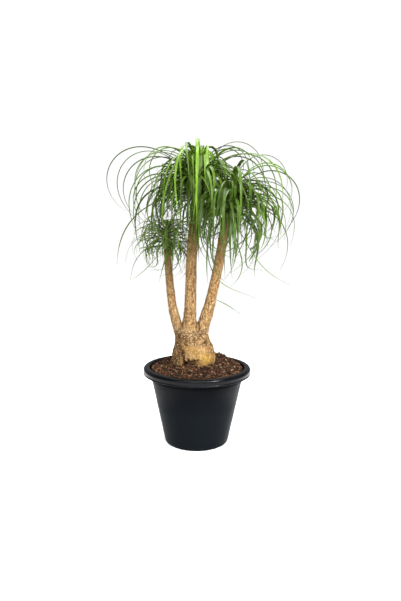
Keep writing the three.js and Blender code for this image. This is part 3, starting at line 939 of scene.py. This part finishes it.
def leaf_line(leaf, steps=LEAF["steps"]):
    """The midline at even steps: places, directions, ways across the blade and shares of the length."""
    t = np.arange(steps + 1) / steps
    bent = smooth((t - leaf["onset"]) / (leaf["hang"] - leaf["onset"]))
    pitch = np.radians(leaf["rise"] - leaf["turn"] * bent)
    heading = np.radians(leaf["azimuth"] + leaf["swing"] * t * t)
    along = np.column_stack(
        [np.cos(pitch) * np.cos(heading), np.cos(pitch) * np.sin(heading), np.sin(pitch)]
    )
    level = np.column_stack([-np.sin(heading), np.cos(heading), np.zeros(steps + 1)])
    angle = np.radians(leaf["twist"] * t)[:, None]
    across = level * np.cos(angle) + np.cross(along, level) * np.sin(angle)
    places = np.zeros((steps + 1, 3))
    places[1:] = np.cumsum(along[:-1] * leaf["length"] / steps, axis=0)
    return leaf["root"] + places, along, across, t


LISTED_KEYS = ("azimuth", "rise", "turn", "onset", "hang", "length", "swing", "twist")
# A listed leaf that twists more than this is narrower, and dark: the old green at full shade,
# which is painted shade for a leaf that hangs edge-on.
MOST_TWIST, TWISTED_WIDTH = 45, 0.58


def listed_leaves(crown, kind, width):
    """The head's arching leaves or its tuft."""
    leaves = []
    for share, *values in crown[kind]:
        leaf = dict(zip(LISTED_KEYS, values), width=width, youth=share)
        leaf["root"] = head_point(crown, share)
        if abs(leaf["twist"]) > MOST_TWIST:
            # Painted shade: the darkest green for an edge-on leaf.
            leaf.update(width=width * TWISTED_WIDTH, youth=0, shade=1)
        leaves.append(leaf)
    return leaves


def tuft_leaves(crown):
    return [dict(leaf, keel=TUFT["keel"]) for leaf in listed_leaves(crown, "tuft", TUFT["width"])]


def stray_leaves(crown):
    """Single leaves that hang lower than the rest, or that grow from the bare stem."""
    keys = (*LISTED_KEYS, "width")
    return [
        dict(zip(keys, values), root=np.array(root, float), youth=STRAY_YOUTH)
        for root, *values in crown["strays"]
    ]


def spread(azimuth):
    """Turns a leaf a little away from the front and the back, towards the nearer side."""
    return azimuth - LEAF["sideways"] * math.sin(2 * math.radians(azimuth))


def drawn_leaf(crown, index, attempt):
    """The solids' rule: old leaves low on the head and spread, young ones high and steep."""
    random = generator(crown["seed"] * 100003 + index * 101 + attempt)

    def between(low, high):
        return mix(low, high, random())

    youth = index / (crown["leaves"] - 1)
    rise = mix(*crown["rise"], youth) + between(-12, 12)
    return dict(
        root=head_point(crown, mix(*LEAF["roots"], youth)),
        azimuth=spread(index * LEAF["step"] + between(-1, 1) * (8 + attempt * 0.5)),
        rise=rise,
        turn=rise + 90 + between(*crown["curl"]),
        onset=between(-0.1, 0.1),
        hang=between(*crown["hang"]),
        length=between(*crown["length"]),
        swing=between(-1, 1) * (crown["swing"] + attempt * 0.3),
        twist=between(-50, 50),
        width=crown["width"] * between(0.85, 1.1),
        youth=youth,
    )


def in_bounds(places, out):
    """Whether a midline keeps to the plant's outline and, past the part that clasps, off the bark."""
    if places[:, 2].max() > LEAF["ceiling"] or places[:, 2].min() < LEAF["lowest"]:
        return False
    if np.hypot(places[:, 0], places[:, 1]).max() > LEAF["reach"]:
        return False
    return bark_distance(places[out > LEAF["clasping"]]).min(initial=99) >= LEAF["stem_gap"]


class Placed:
    """Midline points of the leaves placed so far."""

    def __init__(self):
        self.points, self.owners = [], []

    def add(self, owner, places):
        self.points += places.tolist()
        self.owners += [owner] * len(places)
        self.tree = KDTree(len(self.points))
        for i, p in enumerate(self.points):
            self.tree.insert(p, i)
        self.tree.balance()

    def blocks(self, owner, places, out):
        """Whether a midline comes too near to another leaf, of its own head or of another."""
        for p, near_root in zip(places.tolist(), (out < LEAF["crowded"]).tolist()):
            for _, i, apart in self.tree.find_range(p, LEAF["other_gap"]):
                if self.owners[i] != owner or (apart < LEAF["own_gap"] and not near_root):
                    return True
        return False


def fitting_leaf(crown, index, placed):
    """The first try at a leaf that has a place clear of the others, or None."""
    for attempt in range(LEAF["tries"]):
        leaf = drawn_leaf(crown, index, attempt)
        places, _, _, t = leaf_line(leaf)
        out = t * leaf["length"]
        if in_bounds(places, out) and not placed.blocks(crown["name"], places, out):
            placed.add(crown["name"], places)
            return leaf
    return None


def grow_leaves():
    """The leaves of the solids, head by head."""
    placed = Placed()
    grown = [listed_leaves(crown, "arching", crown["width"]) for crown in HEADS]
    for crown, leaves in zip(HEADS, grown):
        for leaf in leaves:
            placed.add(crown["name"], leaf_line(leaf)[0])
    for index in range(max(crown["leaves"] for crown in HEADS)):
        for crown, leaves in zip(HEADS, grown):
            leaf = fitting_leaf(crown, index, placed) if index < crown["leaves"] else None
            if leaf:
                leaves.append(leaf)
    return grown


def in_bulk(places, bulk):
    """Whether every point lies in the ellipsoid of the head."""
    half = np.array([[*bulk[3:5], bulk[5]], [*bulk[3:5], bulk[6]]])
    offset = places - bulk[:3]
    return (np.linalg.norm(offset / half[(offset[:, 2] < 0).astype(int)], axis=1) <= 1).all()


def extra_habit(crown, kind):
    """A leaf's range of bend, its range of length as shares of the longest, and its swing."""
    if kind < crown["tangle"]:
        return (0, 55), (0.35, 0.8), 190
    if kind < 0.65:
        return (50, 88), (0.45, 1.15), 145
    return (100, 200), (0.45, 1.15), 145


def extra_leaf(crown, index, random):
    """One try at a leaf that is thinner and more tangled than those of the solids."""
    youth = (index + 0.5) / crown["extra"]
    rise = mix(*crown["rise"], youth) + random.uniform(-16, 16)
    fall, reach, swing = extra_habit(crown, random.random())
    return dict(
        rise=rise,
        turn=rise + random.uniform(*fall),
        root=head_point(crown, mix(*EXTRA["roots"], youth)),
        azimuth=spread(index * EXTRA["step"] + random.uniform(-25, 25)),
        onset=random.uniform(-0.25, 0.15),
        hang=random.uniform(0.8, 1.4),
        length=crown["length"][1] * random.uniform(*reach),
        swing=random.uniform(-1, 1) * swing,
        twist=random.uniform(-70, 70),
        width=crown["width"] * random.uniform(*EXTRA["widths"]),
        # Painted shade: the extra leaves, which fill the inside of the head, keep a darker green.
        youth=EXTRA["brightest_green"] * youth,
    )


def extra_leaves(crown):
    """More leaves between those of the solids, clear of the stems."""
    random = np.random.default_rng(crown["seed"])
    leaves = []
    for index in range(crown["extra"]):
        for _ in range(EXTRA["tries"]):
            leaf = extra_leaf(crown, index, random)
            places, _, _, t = leaf_line(leaf)
            if in_bulk(places, crown["bulk"]) and in_bounds(places, t * leaf["length"]):
                leaves.append(leaf)
                break
    return leaves


def leaf_width(width, t):
    """The width along the leaf: broader where it clasps the head, and tapered to a thin tip."""
    root = 1 + 0.35 * np.maximum(0, 1 - t / 0.08)
    return np.maximum(LEAF["tip_width"] * 0.35, width * root * (1 - t**1.8))


# A blade's section from edge to edge and back underneath: (across, depth) as shares of the half width
# and of the keel's depth, and whether the point is on the underside.
SECTION = [(1, 0, 0), (0.55, 0.42, 0), (0, 1, 0), (-0.55, 0.42, 0), (-1, 0, 0)]
SECTION += [(-0.55, 0.42, 1), (0, 1, 1), (0.55, 0.42, 1)]
BLADE_THICKNESS = 0.55


def blade(leaf, steps):
    """Points of a leaf's rings, each a gutter-shaped section."""
    places, along, across, t = leaf_line(leaf, steps)
    half = leaf_width(leaf["width"], t) / 2
    keel = np.maximum(0.4, 2 * half * leaf.get("keel", LEAF["keel"]) * 0.85)
    thick = np.minimum(BLADE_THICKNESS, keel * 0.6)
    up = np.cross(along, across)
    rings = [
        places + across * (half * a)[:, None] - up * (keel * d + thick * under)[:, None]
        for a, d, under in SECTION
    ]
    return np.stack(rings, axis=1), t


def leaf_points(leaf, youth, shade):
    """A leaf's points, their colours (youth, shade, share along) and their places on a flat blade."""
    rings, t = blade(leaf, int(np.clip(leaf["length"] / 11, 16, 44)))
    colour = np.empty(rings.shape)
    colour[..., 0], colour[..., 1], colour[..., 2] = youth, shade, t[:, None]
    side = np.array([(a + 1) / 2 for a, _, _ in SECTION])
    uv = np.empty((*rings.shape[:2], 2))
    uv[..., 0], uv[..., 1] = side[None], t[:, None]
    return rings.reshape(-1, 3), colour.reshape(-1, 3), uv.reshape(-1, 2)


def make_leaves(crown, leaves, material):
    """All the leaves of a head as one piece."""
    random = np.random.default_rng(crown["seed"] + 500)
    sides = len(SECTION)
    points, colours, uvs, faces = [], [], [], []
    start = 0
    for leaf in leaves:
        # A head's `brightest_green` below 1 darkens all its greens, which is painted shade.
        youth, shade = leaf["youth"] * crown["brightest_green"], leaf.get("shade", random.random())
        for rows, made in zip((points, colours, uvs), leaf_points(leaf, youth, shade)):
            rows.append(made)
        faces += tube_faces(len(points[-1]) // sides, sides, start)
        start += len(points[-1])
    piece = mesh_object(f"leaves_{crown['name']}", np.vstack(points), faces)
    colour_points(piece, "leaf", np.vstack(colours))
    layer = piece.data.uv_layers.new(name="blade")
    corners = np.empty(len(piece.data.loops), dtype=np.int32)
    piece.data.loops.foreach_get("vertex_index", corners)
    layer.data.foreach_set("uv", np.vstack(uvs)[corners].ravel())
    piece.data.materials.append(material)
    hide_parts(f"crown_{crown['name']}")


def make_head(crown, material):
    """The leafy top of the stem, ridged where the leaf bases clasp each other."""
    axis = head_point(crown, 1) - head_point(crown, 0)
    along = axis / np.linalg.norm(axis)
    east = np.cross((0, 1, 0), along)
    east /= np.linalg.norm(east)
    north = np.cross(along, east)
    sides, shares = 36, np.linspace(0.006, 1, 26)
    sizes = np.interp(shares, [0, 0.12, 0.45, 0.75, 1], [0.95, 1.05, 1.05, 0.5, 0.12])
    angles = circle_angles(sides)
    rings = []
    for share, size in zip(shares, sizes):
        ridges = 1 + 0.06 * np.sin(7 * angles + share * 22)
        radius = crown["head_radius"] * size * ridges
        rings.append(
            head_point(crown, share)
            + np.outer(radius * np.cos(angles), east)
            + np.outer(radius * np.sin(angles), north)
        )
    head = mesh_object(f"head_{crown['name']}", np.vstack(rings), tube_faces(len(rings), sides))
    colour_points(head, "leaf", np.tile([0.6, 0.2, 0.12], (len(head.data.vertices), 1)))
    head.data.uv_layers.new(name="blade")
    head.data.materials.append(material)


def make_crowns():
    broad = leaf_material("leaf", (0.035, 0.07, 0.008), (0.1, 0.195, 0.012), (0.18, 0.34, 0.014))
    fine = leaf_material("leaf_fine", (0.06, 0.105, 0.016), (0.125, 0.215, 0.025), (0.21, 0.36, 0.03))
    for crown, leaves in zip(HEADS, grow_leaves()):
        material, slot = (fine, "leaf_fine") if crown["name"] == "left" else (broad, "leaf")
        added = tuft_leaves(crown) + extra_leaves(crown) + stray_leaves(crown)
        make_leaves(crown, leaves + added, material)
        make_head(crown, material)


# ----- Stage -----

# The place in metres, the tilts in radians, and the focal length in pixels of the picture.
CAMERA = dict(
    place=(0.0095, -1.5, 0.63), pitch=math.radians(6.6), roll=0.008,
    focal=475.0, long_side=601.0, sensor=36.0,
)
# Each lamp's place, what it is aimed at, its size and its power in watts.
LAMPS = {
    "key": ((1.65, -1.8, 2.2), (0, 0, 0.5), (0.5, 0.5), 100),
    "strip": ((0.1, -2.2, 2.1), (0, 0, 0.3), (2.4, 0.3), 60),
    "top": ((0.0, 0.9, 3.0), (0, 0.4, 0), (2.0, 2.0), 80),
    "fill": ((-1.4, -2.2, 1.3), (0, 0, 0.5), (1.0, 1.0), 6),
}


def make_camera():
    """From 1.5 m in front of the pot's axis, looking a little downwards."""
    data = bpy.data.cameras.new("camera")
    data.sensor_fit = "AUTO"
    data.sensor_width = CAMERA["sensor"]
    data.lens = CAMERA["focal"] / CAMERA["long_side"] * CAMERA["sensor"]
    data.clip_start, data.clip_end = 0.05, 60
    camera = scene_object("camera", data)
    camera.matrix_world = (
        Matrix.Translation(CAMERA["place"])
        @ Matrix.Rotation(math.pi / 2 - CAMERA["pitch"], 4, "X")
        @ Matrix.Rotation(CAMERA["roll"], 4, "Z")
    )
    bpy.context.scene.camera = camera


def area_light(name, place, target, size, power):
    data = bpy.data.lights.new(name, "AREA")
    data.shape = "RECTANGLE"
    data.size, data.size_y = size
    data.energy = power
    light = scene_object(name, data)
    light.location = place
    aim = Vector(target) - Vector(place)
    light.rotation_euler = aim.to_track_quat("-Z", "Y").to_euler()


def make_floor():
    """A pale disc that glows a little, so that it shows white round the pot's shadow."""
    radius, sides = 1.9, 96
    mesh = bpy.data.meshes.new("floor")
    corners = [(radius * math.cos(a), radius * math.sin(a), 0) for a in circle_angles(sides)]
    mesh.from_pydata(corners, [], [tuple(range(sides))])
    floor = scene_object("floor", mesh)
    n = Nodes("pale_floor")
    grain = n.noise(n.coordinates(), 3, 2)
    shade = n.ramp(grain, [(0.0, (0.9, 0.9, 0.9)), (1.0, (0.92, 0.92, 0.92))])
    mesh.materials.append(n.finish(shade, 0.9, Emission_Color=(1, 1, 1, 1), Emission_Strength=0.55))


def make_world():
    """A studio that the camera sees as white all round, and that lights the plant with less."""
    lighting, seen_white = 0.3, 1.0
    world = bpy.data.worlds.new("studio")
    bpy.context.scene.world = world
    world.use_nodes = True
    tree = world.node_tree
    seen = tree.nodes.new("ShaderNodeLightPath")
    level = tree.nodes.new("ShaderNodeMapRange")
    level.inputs["To Min"].default_value = lighting
    level.inputs["To Max"].default_value = seen_white
    tree.links.new(seen.outputs["Is Camera Ray"], level.inputs["Value"])
    background = tree.nodes["Background"]
    tree.links.new(level.outputs["Result"], background.inputs["Color"])
    background.inputs["Strength"].default_value = 1.02


def make_stage():
    make_floor()
    make_world()
    for name, lamp in LAMPS.items():
        area_light(name, *lamp)
    bpy.context.scene.view_settings.view_transform = "Standard"


# ----- The plant -----

make_camera()
make_stage()
make_pot()
make_soil_bed()
make_chips()
make_trunk()
make_crowns()
